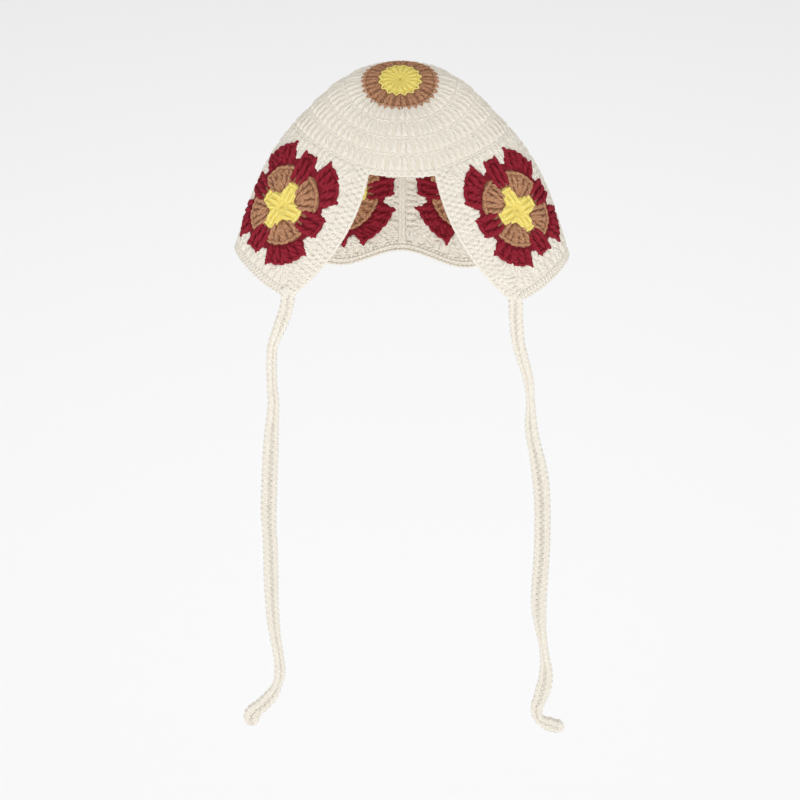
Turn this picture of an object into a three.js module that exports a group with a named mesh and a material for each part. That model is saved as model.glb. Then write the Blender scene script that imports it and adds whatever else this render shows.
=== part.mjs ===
// A child's crochet bonnet: a domed crown with a ringed centre, four granny
// squares hung from its rim as ear flaps and nape, an edging and two ties.
// Millimetres, +Z up, the face opening towards -Y and the wearer's left at +X.
// The origin is the inside of the crown's centre, where a head carries the bonnet.

import * as THREE from "three";

// Fabric
const WALL = 4.5; // thickness of the crochet fabric
const GAP = 0.3; // left between two pieces that are worked into each other
const CURVED_GAP = 0.9; // the same, across a seam that bends in both directions
const RELIEF = 0.8; // how far the middle of a round stands proud of its edges

// Crown
const CROWN_HEIGHT = 49.5; // crown centre above the rim at the temples
const CROWN_FORWARD = 1.5; // crown centre in front of the middle of the rim
const CROWN_ASIDE = 1.5; // crown centre to the wearer's right of the middle of the rim
const LEFT_SAG = 0.026; // how much lower the rim and flaps hang on the left, per mm of width
const CROWN_TILT = 20; // degrees that the crown centre leans towards the face
const CENTRE_HANDLE = 0.44; // fullness of the dome at its centre, as a share of the way to the rim
const RIM_HANDLE = 0.45; // fullness of the dome at its rim, likewise
const CENTRE_RADIUS = 16; // yellow round, over the surface
const RING_RADIUS = 30; // outer edge of the brown round, over the surface
const PLAIN_ROUNDS = 4; // cream rounds from the brown one to the rim
const CROWN_SECTORS = 48;

// Squares
const SQUARE_HALF = 50; // half the side of a square
const PATTERN_HALF = 44; // how far from the middle of its pattern a square's coloured rounds reach
const SQUARE_SECTORS = 40;
const SEAM_WIDTH = 4; // ridge between two squares
const EDGING = 8; // height of the edging along the free bottom edge
const FOREHEAD_EDGING = 4; // height of the edging across the forehead
const FLAP_FRONT = 20; // where round the bonnet a flap's front edge is
const SQUARE_FRONT = 28.5; // where the front square starts behind its edging
const SIDE_SEAM = 104.2; // where the front square meets the back one
const NAPE = 180;

// Ties
const TIE_WIDTH = 13;
const TIE_THICKNESS = 6;
const TIE_SIDES = 8;
const TIE_STEPS = 48;
const TIE_END_RADIUS = 7;

// The rim of the crown on one half of the bonnet. "around" runs over the rim from
// 0 at the forehead to 180 at the nape, and lean is the angle from straight down
// at which the fabric leaves the rim outwards.
const RIM = [
  { around: 0, x: 0, y: -62, z: 0, lean: 26 },
  { around: 20, x: 25.5, y: -59, z: 0, lean: 30 },
  { around: 40, x: 45, y: -44, z: 0, lean: 36 },
  { around: 60, x: 64, y: -26, z: 0, lean: 39 },
  { around: 80, x: 79, y: -6, z: 0, lean: 40 },
  { around: 100, x: 85, y: 17, z: -4, lean: 37 },
  { around: 120, x: 71, y: 39, z: -16, lean: 24 },
  { around: 150, x: 36, y: 54, z: -27, lean: 6 },
  { around: 180, x: 0, y: 58, z: -28, lean: -2 },
];

// The free bottom edge on one half, from the flap's front corner to the nape.
const BOTTOM = [
  { around: 20, x: 86, y: -74, z: -108 },
  { around: 29, x: 99, y: -66, z: -112 },
  { around: 52, x: 121, y: -37, z: -110 },
  { around: 80, x: 134, y: 3, z: -112 },
  { around: 104, x: 121, y: 30, z: -122 },
  { around: 125, x: 90, y: 46, z: -140 },
  { around: 150, x: 50, y: 49, z: -153 },
  { around: 180, x: 0, y: 42, z: -134 },
];

// Outlines of a square's coloured rounds: distances from its centre at angles
// counted from the middle of a side (0) to a corner (45).
const OUTLINES = [
  { angle: 0, centre: 19.5, middle: 23.5, outer: 43 },
  { angle: 9, centre: 20, middle: 26.5, outer: 42 },
  { angle: 18, centre: 20.5, middle: 31, outer: 38.5 },
  { angle: 27, centre: 17.5, middle: 34, outer: 48 },
  { angle: 36, centre: 14, middle: 35, outer: 52.5 },
  { angle: 45, centre: 12, middle: 31.5, outer: 50 },
];

// The ties' routes, seen from the front: x to the wearer's left, z up from the
// rim at the temples. Both hang in one plane.
const TIE_DEPTH = -70;
const RIGHT_TIE = [
  { x: -91, z: -109.8 },
  { x: -93, z: -123 },
  { x: -99, z: -142 },
  { x: -104.5, z: -160 },
  { x: -105, z: -192 },
  { x: -104, z: -212 },
  { x: -106, z: -243 },
  { x: -108, z: -286 },
  { x: -109, z: -320 },
  { x: -108, z: -352 },
  { x: -107.5, z: -400 },
  { x: -105.5, z: -434 },
  { x: -102.5, z: -458 },
  { x: -101.5, z: -476 },
  { x: -105.5, z: -492 },
  { x: -114, z: -505 },
  { x: -123, z: -514 },
];
const LEFT_TIE = [
  { x: 91, z: -114.5 },
  { x: 91.5, z: -132 },
  { x: 94, z: -156 },
  { x: 101.5, z: -186 },
  { x: 104, z: -208 },
  { x: 105, z: -237 },
  { x: 111, z: -270 },
  { x: 114.5, z: -304 },
  { x: 115, z: -350 },
  { x: 113, z: -400 },
  { x: 114.5, z: -428 },
  { x: 119, z: -462 },
  { x: 119.5, z: -482 },
  { x: 116, z: -499 },
  { x: 112.5, z: -511 },
  { x: 114.5, z: -522 },
  { x: 123, z: -527.5 },
];

const COLOURS = {
  cream: 0xe9e3d6,
  yellow: 0xe9d857,
  brown: 0xa4694a,
  burgundy: 0x8d1f35,
};
const ROUGHNESS = 0.95;

const radians = THREE.MathUtils.degToRad;

// One column of a table at a place between its rows, on a smooth curve. Past the
// forehead and the nape the table goes on as its own mirror image.
function readTable(rows, key, column, at) {
  const last = rows.length - 1;
  const place = THREE.MathUtils.clamp(at, rows[0][key], rows[last][key]);
  let i = 0;
  while (i < last - 1 && place > rows[i + 1][key]) i++;
  const slopeBetween = (j, k) =>
    (rows[k][column] - rows[j][column]) / (rows[k][key] - rows[j][key]);
  const slopeAt = (k) => {
    if (k > 0 && k < last) return slopeBetween(k - 1, k + 1);
    const slope = k === 0 ? slopeBetween(0, 1) : slopeBetween(last - 1, last);
    const onMirror = k === last || rows[0][key] === 0;
    return column === "x" || !onMirror ? slope : 0;
  };
  const span = rows[i + 1][key] - rows[i][key];
  const f = (place - rows[i][key]) / span;
  const [f2, f3] = [f * f, f * f * f];
  return (
    rows[i][column] * (2 * f3 - 3 * f2 + 1) +
    slopeAt(i) * span * (f3 - 2 * f2 + f) +
    rows[i + 1][column] * (3 * f2 - 2 * f3) +
    slopeAt(i + 1) * span * (f3 - f2)
  );
}

// "around" on the whole bonnet is positive on the wearer's left, negative on the right.
function half(around) {
  const turned = THREE.MathUtils.euclideanModulo(around + 180, 360) - 180;
  return { side: turned < 0 ? -1 : 1, angle: Math.abs(turned) };
}

function tablePoint(rows, around) {
  const { side, angle } = half(around);
  const x = side * readTable(rows, "around", "x", angle);
  const y = readTable(rows, "around", "y", angle);
  const z = readTable(rows, "around", "z", angle);
  return new THREE.Vector3(x, y, z - LEFT_SAG * x);
}

// The direction in which the fabric runs down over the rim.
function rimDirection(around) {
  const step = 1;
  const forward = tablePoint(RIM, around + step).sub(tablePoint(RIM, around - step));
  const outward = new THREE.Vector3(forward.y, -forward.x, 0).normalize();
  const lean = radians(readTable(RIM, "around", "lean", half(around).angle));
  const down = new THREE.Vector3(0, 0, -Math.cos(lean));
  return down.addScaledVector(outward, Math.sin(lean));
}

function bezier(points, f) {
  const g = 1 - f;
  const weights =
    points.length === 4 ? [g * g * g, 3 * g * g * f, 3 * g * f * f, f * f * f] : [g * g, 2 * g * f, f * f];
  const sum = new THREE.Vector3();
  points.forEach((point, k) => sum.addScaledVector(point, weights[k]));
  return sum;
}

const CURVE_STEPS = 32;
function curveLengths(points) {
  const lengths = [0];
  let previous = points[0];
  for (let k = 1; k <= CURVE_STEPS; k++) {
    const next = bezier(points, k / CURVE_STEPS);
    lengths.push(lengths[k - 1] + next.distanceTo(previous));
    previous = next;
  }
  return lengths;
}

function pointAtLength(points, lengths, wanted) {
  let k = 0;
  while (k < CURVE_STEPS - 1 && lengths[k + 1] < wanted) k++;
  const f = (wanted - lengths[k]) / (lengths[k + 1] - lengths[k]);
  return bezier(points, (k + f) / CURVE_STEPS);
}

// The middle of the crown's fabric, by rounds: 0 at the centre, 1 and 2 at the
// outer edges of the yellow and brown rounds, and then each cream round to the rim.
const crownCentre = new THREE.Vector3(-CROWN_ASIDE, -CROWN_FORWARD, CROWN_HEIGHT);
const LAST_ROUND = 2 + PLAIN_ROUNDS;

function crownFabric(around, rounds) {
  const angle = radians(around);
  const tilt = radians(CROWN_TILT);
  const rim = tablePoint(RIM, around);
  const reach = rim.distanceTo(crownCentre);
  const leaving = new THREE.Vector3(
    Math.sin(angle),
    -Math.cos(angle) * Math.cos(tilt),
    -Math.cos(angle) * Math.sin(tilt),
  );
  const points = [
    crownCentre,
    crownCentre.clone().addScaledVector(leaving, reach * CENTRE_HANDLE),
    rim.clone().addScaledVector(rimDirection(around), -reach * RIM_HANDLE),
    rim,
  ];
  const lengths = curveLengths(points);
  const total = lengths[CURVE_STEPS];
  let wanted = RING_RADIUS + ((rounds - 2) / PLAIN_ROUNDS) * (total - RING_RADIUS);
  if (rounds <= 1) wanted = rounds * CENTRE_RADIUS;
  else if (rounds <= 2) wanted = CENTRE_RADIUS + (rounds - 1) * (RING_RADIUS - CENTRE_RADIUS);
  return pointAtLength(points, lengths, wanted);
}

// The middle of the fabric below the rim: a share of the way from the rim (0) to
// the free edge (1), and from there a distance further down.
function skirtFabric(around, drop, share) {
  const rim = tablePoint(RIM, around);
  const bottom = tablePoint(BOTTOM, around);
  const handle = rim.clone().addScaledVector(rimDirection(around), rim.distanceTo(bottom) / 2);
  const points = [rim, handle, bottom];
  const lengths = curveLengths(points);
  return pointAtLength(points, lengths, share * lengths[CURVE_STEPS] + drop);
}

function foreheadFabric(around, drop) {
  return tablePoint(RIM, around).addScaledVector(rimDirection(around), drop);
}

// Between the rim and the edging, a piece keeps a gap at both.
const dropOfSquare = (share) => CURVED_GAP * (1 - share) - (EDGING + CURVED_GAP) * share;

// A fabric's own point moved out of its middle by half the wall and its relief.
const OUTSIDE = 1;
const INSIDE = -1;
const NORMAL_STEP = 0.4;

function skin(fabric, u, v, face, relief = 0) {
  const acrossU = fabric(u + NORMAL_STEP, v).sub(fabric(u - NORMAL_STEP, v));
  const acrossV = fabric(u, v + NORMAL_STEP / 4).sub(fabric(u, v - NORMAL_STEP / 4));
  const normal = acrossV.cross(acrossU).normalize();
  return fabric(u, v).addScaledVector(normal, face * (WALL / 2) + relief);
}

function crownSkin(around, rounds, face, relief = 0) {
  if (rounds > 0) return skin(crownFabric, around, Math.max(rounds, 0.2), face, relief);
  const tilt = radians(CROWN_TILT);
  const normal = new THREE.Vector3(0, -Math.sin(tilt), Math.cos(tilt));
  return crownCentre.clone().addScaledVector(normal, face * (WALL / 2) + relief);
}

// Bodies. Each is a row of closed sections joined one to the next, either round
// in a ring or with a flat cap at both ends. Each four corners are joined across
// the shorter way, so that neighbours meet on alike faces, and corners that fall
// together, as at the centre of a disc, make no face.
const SAME_POINT = 1e-4;

function bodyGeometry(sections, isRing) {
  const size = sections[0].length;
  const positions = [];
  const triangle = (a, b, c) => {
    const closest = Math.min(a.distanceTo(b), b.distanceTo(c), c.distanceTo(a));
    if (closest > SAME_POINT) positions.push(...a, ...b, ...c);
  };
  const pairs = isRing ? sections.length : sections.length - 1;
  for (let k = 0; k < pairs; k++) {
    const here = sections[k];
    const next = sections[(k + 1) % sections.length];
    for (let j = 0; j < size; j++) {
      const i = (j + 1) % size;
      if (here[j].distanceTo(next[i]) < here[i].distanceTo(next[j])) {
        triangle(here[j], here[i], next[i]);
        triangle(here[j], next[i], next[j]);
      } else {
        triangle(here[j], here[i], next[j]);
        triangle(here[i], next[i], next[j]);
      }
    }
  }
  if (!isRing) {
    const first = sections[0];
    const last = sections[sections.length - 1];
    for (let j = 1; j < size - 1; j++) {
      triangle(first[0], first[j + 1], first[j]);
      triangle(last[0], last[j], last[j + 1]);
    }
  }
  const geometry = new THREE.BufferGeometry();
  geometry.setAttribute("position", new THREE.Float32BufferAttribute(positions, 3));
  geometry.computeVertexNormals();
  return geometry;
}

const bonnet = new THREE.Group();

function addPiece(name, geometry, colour) {
  const material = new THREE.MeshStandardMaterial({ color: colour, roughness: ROUGHNESS, metalness: 0 });
  const mesh = new THREE.Mesh(geometry, material);
  mesh.name = name;
  bonnet.add(mesh);
}

const stepsBetween = (from, to, count) =>
  Array.from({ length: count + 1 }, (_, k) => from + ((to - from) * k) / count);

// Crown: the yellow centre, the brown round and the cream rounds, with a ridge
// along the middle of every round.
function crownGeometry(firstRound, lastRound) {
  const gap = GAP / 2 / CENTRE_RADIUS;
  const placed = (round) => {
    if (round === lastRound) return round - gap;
    return round === firstRound && round > 0 ? round + gap : round;
  };
  const halves = stepsBetween(firstRound, lastRound, (lastRound - firstRound) * 2);
  const wholes = stepsBetween(lastRound, firstRound, lastRound - firstRound);
  const angles = stepsBetween(-180, 180, CROWN_SECTORS).slice(0, CROWN_SECTORS);
  const sections = angles.map((around) => [
    ...halves.map((r) => crownSkin(around, placed(r), OUTSIDE, r % 1 === 0 ? 0 : RELIEF)),
    ...wholes.map((r) => crownSkin(around, placed(r), INSIDE, 0)),
  ]);
  return bodyGeometry(sections, true);
}

addPiece("crown_centre", crownGeometry(0, 1), COLOURS.yellow);
addPiece("crown_ring", crownGeometry(1, 2), COLOURS.brown);
addPiece("crown_rounds", crownGeometry(2, LAST_ROUND), COLOURS.cream);

// Squares. A place on a square is given in millimetres from the centre of its
// pattern, "along" towards the nape and "down" from the rim. The square is drawn
// out to fill the fabric between its seams. Its pattern has a size of its own and
// lies a little off its middle, as the yarn came out by hand.
const RIM_DEGREES_PER_MM = 0.79; // of "around", over the rim
const SEAM_HALF = (SEAM_WIDTH / 2) * RIM_DEGREES_PER_MM;
const GAP_DEGREES = GAP * RIM_DEGREES_PER_MM;

const SQUARES = [
  {
    name: "temple",
    from: SQUARE_FRONT + GAP_DEGREES,
    to: SIDE_SEAM - SEAM_HALF - GAP_DEGREES,
    left: { scale: 0.92, along: -7, down: -4.5 },
    right: { scale: 0.98, along: -3.5, down: -1.5 },
  },
  {
    name: "nape",
    from: SIDE_SEAM + SEAM_HALF + GAP_DEGREES,
    to: NAPE - SEAM_HALF - GAP_DEGREES,
    left: { scale: 0.92, along: 0, down: -0.5 },
    right: { scale: 0.97, along: 4, down: 1.5 },
  },
];

const SQUARE_ROUNDS = [
  { name: "centre", inner: null, outer: "centre", colour: COLOURS.yellow },
  { name: "middle", inner: "centre", outer: "middle", colour: COLOURS.brown },
  { name: "outer", inner: "middle", outer: "outer", colour: COLOURS.burgundy },
  { name: "border", inner: "outer", outer: null, colour: COLOURS.cream },
];

function outlineRadius(column, angle) {
  const folded = Math.abs(THREE.MathUtils.euclideanModulo(angle + 45, 90) - 45);
  return readTable(OUTLINES, "angle", column, folded);
}

// How much of the way over a square a place in its pattern is, from 0 to 1. The
// pattern keeps its scale, and the border outside it takes up the difference.
function shareOfSquare(place, shift, scale) {
  const side = Math.sign(place);
  const within = Math.min(Math.abs(place), PATTERN_HALF);
  const beyond = (Math.abs(place) - within) / (SQUARE_HALF - PATTERN_HALF);
  const inPattern = shift + scale * side * within;
  const inSquare = inPattern + (side * SQUARE_HALF - inPattern) * beyond;
  return (inSquare + SQUARE_HALF) / (2 * SQUARE_HALF);
}

function squareGeometry(square, pattern, side, round) {
  const fabric = (along, down) => {
    const share = shareOfSquare(down, pattern.down, pattern.scale);
    const across = shareOfSquare(along, pattern.along, pattern.scale);
    const around = square.from + (square.to - square.from) * across;
    return skirtFabric(side * around, dropOfSquare(share), share);
  };
  const angles = stepsBetween(0, 360, SQUARE_SECTORS).slice(0, SQUARE_SECTORS);
  const sections = angles.map((angle) => {
    const [c, s] = [Math.cos(radians(angle)), Math.sin(radians(angle))];
    const edge = SQUARE_HALF / Math.max(Math.abs(c), Math.abs(s));
    const inner = round.inner ? outlineRadius(round.inner, angle) + GAP / 2 : 0;
    const outer = round.outer ? outlineRadius(round.outer, angle) - GAP / 2 : edge;
    const at = (radius, face, relief) =>
      skin(fabric, radius * c, radius * s, side * face, side * relief);
    const section = [
      at(inner, OUTSIDE, 0),
      at((inner + outer) / 2, OUTSIDE, RELIEF),
      at(outer, OUTSIDE, 0),
      at(outer, INSIDE, 0),
      at(inner, INSIDE, 0),
    ];
    return side > 0 ? section.reverse() : section;
  });
  return bodyGeometry(sections, true);
}

const SIDES = [
  { name: "left", sign: 1 },
  { name: "right", sign: -1 },
];

for (const side of SIDES) {
  for (const square of SQUARES) {
    for (const round of SQUARE_ROUNDS) {
      const name = `${side.name}_${square.name}_square_${round.name}`;
      addPiece(name, squareGeometry(square, square[side.name], side.sign, round), round.colour);
    }
  }
}

// Seams and edgings, as strips of the same fabric. A strip that runs down the
// bonnet has its section across "around"; one that runs round it has its section
// across the height.
const STRIP_STEPS_DOWN = 10;

function skirtSkin(around, drop, share, face, relief = 0) {
  const fabric = (u, v) => skirtFabric(u, v, share);
  return skin(fabric, around, drop, face, relief);
}

function seamGeometry(around) {
  const sections = stepsBetween(0, 1, STRIP_STEPS_DOWN).map((share) => {
    const drop = dropOfSquare(share);
    const [low, high] = [around - SEAM_HALF, around + SEAM_HALF];
    return [
      skirtSkin(high, drop, share, OUTSIDE),
      skirtSkin(around, drop, share, OUTSIDE, RELIEF),
      skirtSkin(low, drop, share, OUTSIDE),
      skirtSkin(low, drop, share, INSIDE),
      skirtSkin(high, drop, share, INSIDE),
    ];
  });
  return bodyGeometry(sections, false);
}

addPiece("left_seam", seamGeometry(SIDE_SEAM), COLOURS.cream);
addPiece("right_seam", seamGeometry(-SIDE_SEAM), COLOURS.cream);
addPiece("nape_seam", seamGeometry(NAPE), COLOURS.cream);

const ROUNDED_EDGE = 1.5; // how far the rounding of a free edge reaches in

function frontEdgingGeometry(side) {
  const inner = side * (SQUARE_FRONT - GAP_DEGREES);
  const edge = side * FLAP_FRONT;
  const rounding = edge + side * ROUNDED_EDGE * RIM_DEGREES_PER_MM;
  const sections = stepsBetween(0, 1, STRIP_STEPS_DOWN + 2).map((share) => {
    const drop = CURVED_GAP * (1 - share);
    const tip = skirtFabric(edge, drop, share);
    const section = [
      skirtSkin(inner, drop, share, OUTSIDE),
      skirtSkin(rounding, drop, share, OUTSIDE),
      tip,
      skirtSkin(rounding, drop, share, INSIDE),
      skirtSkin(inner, drop, share, INSIDE),
    ];
    return side > 0 ? section : section.reverse();
  });
  return bodyGeometry(sections, false);
}

addPiece("left_front_edging", frontEdgingGeometry(1), COLOURS.cream);
addPiece("right_front_edging", frontEdgingGeometry(-1), COLOURS.cream);

function foreheadEdgingGeometry() {
  const end = FLAP_FRONT - CURVED_GAP * RIM_DEGREES_PER_MM;
  const low = FOREHEAD_EDGING - ROUNDED_EDGE;
  const sections = stepsBetween(-end, end, 8).map((around) => [
    skin(foreheadFabric, around, CURVED_GAP, OUTSIDE),
    skin(foreheadFabric, around, low, OUTSIDE),
    foreheadFabric(around, FOREHEAD_EDGING),
    skin(foreheadFabric, around, low, INSIDE),
    skin(foreheadFabric, around, CURVED_GAP, INSIDE),
  ]);
  return bodyGeometry(sections, false);
}

function bottomEdgingGeometry() {
  const start = SQUARE_FRONT + GAP_DEGREES;
  const sections = stepsBetween(start, 2 * NAPE - start, 64).map((around) => [
    skirtSkin(around, -EDGING, 1, OUTSIDE),
    skirtSkin(around, -ROUNDED_EDGE, 1, OUTSIDE),
    skirtFabric(around, 0, 1),
    skirtSkin(around, -ROUNDED_EDGE, 1, INSIDE),
    skirtSkin(around, -EDGING, 1, INSIDE),
  ]);
  return bodyGeometry(sections, false);
}

addPiece("forehead_edging", foreheadEdgingGeometry(), COLOURS.cream);
addPiece("bottom_edging", bottomEdgingGeometry(), COLOURS.cream);

// Ties: flat bands that hang from the flaps' front corners and sway a little,
// each with its end curled over.
const tiePath = (route) =>
  new THREE.CatmullRomCurve3(route.map((p) => new THREE.Vector3(p.x, TIE_DEPTH, p.z)));

function tieGeometry(path) {
  const section = new THREE.Shape();
  section.absellipse(0, 0, TIE_THICKNESS / 2, TIE_WIDTH / 2, 0, 2 * Math.PI);
  return new THREE.ExtrudeGeometry(section, {
    steps: TIE_STEPS,
    curveSegments: TIE_SIDES / 2,
    bevelEnabled: false,
    extrudePath: path,
  });
}

function tieEndGeometry(path) {
  const centre = path.getPoint(1).addScaledVector(path.getTangent(1), TIE_END_RADIUS + GAP);
  const geometry = new THREE.SphereGeometry(TIE_END_RADIUS, 12, 8);
  geometry.scale(1, TIE_THICKNESS / 2 / TIE_END_RADIUS, 1);
  geometry.translate(...centre);
  return geometry;
}

for (const [name, route] of [["left", LEFT_TIE], ["right", RIGHT_TIE]]) {
  addPiece(`${name}_tie`, tieGeometry(tiePath(route)), COLOURS.cream);
  addPiece(`${name}_tie_end`, tieEndGeometry(tiePath(route)), COLOURS.cream);
}

bonnet.position.copy(crownSkin(0, 0, INSIDE)).negate();

export default bonnet;
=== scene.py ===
import math
from functools import cache

import bpy
import numpy as np
from bpy.props import FloatProperty, FloatVectorProperty, IntProperty, PointerProperty
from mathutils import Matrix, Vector


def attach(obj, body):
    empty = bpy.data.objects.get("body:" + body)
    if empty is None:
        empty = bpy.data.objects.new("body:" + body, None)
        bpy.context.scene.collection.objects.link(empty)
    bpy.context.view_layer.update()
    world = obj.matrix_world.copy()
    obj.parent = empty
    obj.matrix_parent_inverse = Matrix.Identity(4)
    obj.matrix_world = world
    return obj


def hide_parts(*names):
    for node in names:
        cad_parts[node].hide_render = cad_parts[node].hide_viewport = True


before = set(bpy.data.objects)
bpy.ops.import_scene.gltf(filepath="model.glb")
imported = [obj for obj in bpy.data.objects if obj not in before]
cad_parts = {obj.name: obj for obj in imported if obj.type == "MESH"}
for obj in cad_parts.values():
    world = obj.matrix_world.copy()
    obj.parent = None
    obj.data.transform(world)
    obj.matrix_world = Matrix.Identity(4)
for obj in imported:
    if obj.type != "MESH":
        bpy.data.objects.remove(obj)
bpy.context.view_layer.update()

bl_info = {
    "name": "Crochet Bonnet",
    "version": (1, 0, 0),
    "blender": (4, 5, 0),
    "location": "3D View > Sidebar > Bonnet",
    "description": "Works a child's crochet bonnet, stitch by stitch, in yarn",
    "category": "Add Mesh",
}

# Millimetres, as in the pattern; one of them in metres
MM = 0.001

# Fabric, as in the solids: its thickness, and the gap below the rim
WALL = 4.5
CURVED_GAP = 0.9

# Crown, as in the solids, but for its two colour rounds, whose loops reach a little past them
CROWN_HEIGHT = 49.5
CROWN_FORWARD = 1.5
CROWN_ASIDE = 1.5
# How much lower the left side hangs for each millimetre from the middle
LEFT_SAG = 0.026
CROWN_TILT = math.radians(20)
# How far the crown's curve runs straight out from its centre and its rim, as a share of its reach
CENTRE_HANDLE = 0.44
RIM_HANDLE = 0.45
CENTRE_RADIUS = 15.0
RING_RADIUS = 28.0
PLAIN_ROUNDS = 4
LAST_ROUND = 2 + PLAIN_ROUNDS
# Centre to rim, about, and how many rounds the cloth is drawn past the rim
CROWN_REACH = 100.0
PAST_RIM = 0.25

# Squares and edging, as in the solids
SQUARE_HALF = 50.0
PATTERN_HALF = 44.0
SEAM_WIDTH = 4.0
EDGING = 8.0
FOREHEAD_EDGING = 4.0
FLAP_FRONT = 20.0
SQUARE_FRONT = 28.5
SIDE_SEAM = 104.2
NAPE = 180.0
RIM_DEGREES_PER_MM = 0.79
# The pattern of each square, as in the solids: its scale, and how far it lies along and down
PATTERNS = {
    "left_temple_square": (0.92, -7.0, -4.5),
    "right_temple_square": (0.98, -3.5, -1.5),
    "left_nape_square": (0.92, 0.0, -0.5),
    "right_nape_square": (0.97, 4.0, 1.5),
}

# The rim of the crown on one half: place round the rim, x, y, z, lean in degrees
RIM = {
    "around": (0, 20, 40, 60, 80, 100, 120, 150, 180),
    "x": (0, 25.5, 45, 64, 79, 85, 71, 36, 0),
    "y": (-62, -59, -44, -26, -6, 17, 39, 54, 58),
    "z": (0, 0, 0, 0, 0, -4, -16, -27, -28),
    "lean": (26, 30, 36, 39, 40, 37, 24, 6, -2),
}

# The free bottom edge on one half
BOTTOM = {
    "around": (20, 29, 52, 80, 104, 125, 150, 180),
    "x": (86, 99, 121, 134, 121, 90, 50, 0),
    "y": (-74, -66, -37, 3, 30, 46, 49, 42),
    "z": (-108, -112, -110, -112, -122, -140, -153, -134),
}

# The ties' routes in the plane where they hang, x and z in turn
TIE_DEPTH = -70.0
RIGHT_TIE = (
    (-91, -109.8), (-93, -123), (-99, -142), (-104.5, -160), (-105, -192), (-104, -212),
    (-106, -243), (-108, -286), (-109, -320), (-108, -352), (-107.5, -400), (-105.5, -434),
    (-102.5, -458), (-101.5, -476), (-105.5, -492), (-114, -505), (-123, -514),
)
LEFT_TIE = (
    (91, -114.5), (91.5, -132), (94, -156), (101.5, -186), (104, -208), (105, -237),
    (111, -270), (114.5, -304), (115, -350), (113, -400), (114.5, -428), (119, -462),
    (119.5, -482), (116, -499), (112.5, -511), (114.5, -522), (123, -527.5),
)
# How far each tie is turned about its own length, in degrees, along its length from 0 to 1
RIGHT_TWIST = (
    (0, 0), (0.12, 30), (0.24, 30), (0.3, 15), (0.5, 10), (0.78, 20), (0.9, 35), (0.95, 10), (1, 0),
)
LEFT_TWIST = (
    (0, 0), (0.15, 30), (0.22, 40), (0.27, 15), (0.6, 5), (0.75, 30), (0.8, 40), (0.85, 20), (1, 0),
)

# How wide each tie is along its length, in millimetres, where it is drawn in or lies flat
RIGHT_WIDTHS = (
    (0, 11.0), (0.07, 10.8), (0.1, 9.2), (0.13, 8.2), (0.2, 8.2), (0.26, 9.2), (0.3, 10.8),
    (0.36, 12.6), (0.5, 12.8), (0.54, 11.6), (0.65, 12.0), (0.69, 11.2), (0.76, 10.4), (0.82, 8.4),
    (0.86, 8.4), (0.89, 9.4), (0.92, 8.0), (0.95, 11.5), (1, 13),
)
LEFT_WIDTHS = (
    (0, 11.4), (0.06, 10.8), (0.12, 10.0), (0.15, 9.2), (0.18, 8.4), (0.22, 6.6), (0.25, 7.6),
    (0.28, 10.0), (0.34, 11.2), (0.4, 13.4), (0.48, 13.2), (0.7, 12.8), (0.73, 11.2), (0.77, 8.6),
    (0.8, 7.2), (0.83, 7.8), (0.86, 11.0), (0.9, 12.8), (0.95, 10.2), (0.975, 8.0), (1, 12.2),
)

# How much the rounded end of each tie curls in x and z, for each square millimetre along it
RIGHT_CURL = (0.05, -0.03)
LEFT_CURL = (0.0, 0.026)
TIE_END = 14.0
TIE_END_STITCH = 4.0
TIE_YARN = 1.5
# Where a tie starts, up behind the flap's corner, and the steps of its curve between two points
TIE_START = -6.0
TIE_SMOOTHING = 12

# Stitches in each round of the crown
CROWN_COUNTS = (16, 32, 48, 60, 68, 74)
# How far the foot of a stitch in the crown is drawn to the stitch below, its share of the width there,
# and how wide it is at least
CROWN_GATHER = 0.55
CROWN_FOOT = 0.85
LEAST_FOOT = 0.8
# How far the loops on top rise, and how they arch, in the yellow, the brown and the cream rounds
CROWN_LOOPS = ((1.6, 1.2), (2.4, 0.6), (1.1, 1.9))


def table_at(table, column, at):
    """One column of a table between its rows, on a smooth curve; at its mirror ends it comes in level."""
    keys = np.array(table["around"], float)
    values = np.array(table[column], float)
    slopes = np.gradient(values, keys)
    slopes[1:-1] = (values[2:] - values[:-2]) / (keys[2:] - keys[:-2])
    if column != "x":
        slopes[-1] = 0
        if keys[0] == 0:
            slopes[0] = 0
    place = np.clip(at, keys[0], keys[-1])
    i = np.clip(np.searchsorted(keys, place, side="right") - 1, 0, len(keys) - 2)
    span = keys[i + 1] - keys[i]
    f = (place - keys[i]) / span
    f2, f3 = f * f, f * f * f
    return (
        values[i] * (2 * f3 - 3 * f2 + 1)
        + slopes[i] * span * (f3 - 2 * f2 + f)
        + values[i + 1] * (3 * f2 - 2 * f3)
        + slopes[i + 1] * span * (f3 - f2)
    )


def half(around):
    """Which side of the bonnet a place is on, and how far round from the forehead."""
    turned = np.mod(np.asarray(around, float) + 180, 360) - 180
    return np.where(turned < 0, -1.0, 1.0), np.abs(turned)


def table_point(table, around):
    side, angle = half(around)
    x = side * table_at(table, "x", angle)
    y = table_at(table, "y", angle)
    z = table_at(table, "z", angle)
    return np.stack([x, y, z - LEFT_SAG * x], -1)


def unit(v):
    return v / np.maximum(np.linalg.norm(v, axis=-1, keepdims=True), 1e-12)


def pairs(first, second):
    """Places from two measures, one of which may be the same for all."""
    return np.stack(np.broadcast_arrays(first, second), -1)


def lengths_along(points):
    """How far along its curve each point lies, for one curve or a row of them."""
    steps = np.linalg.norm(np.diff(points, axis=-2), axis=-1)
    return np.concatenate([np.zeros(steps.shape[:-1] + (1,)), np.cumsum(steps, -1)], -1)


def point_along(curve, lengths, at):
    return np.stack([np.interp(at, lengths, curve[:, c]) for c in range(3)], -1)


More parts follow.
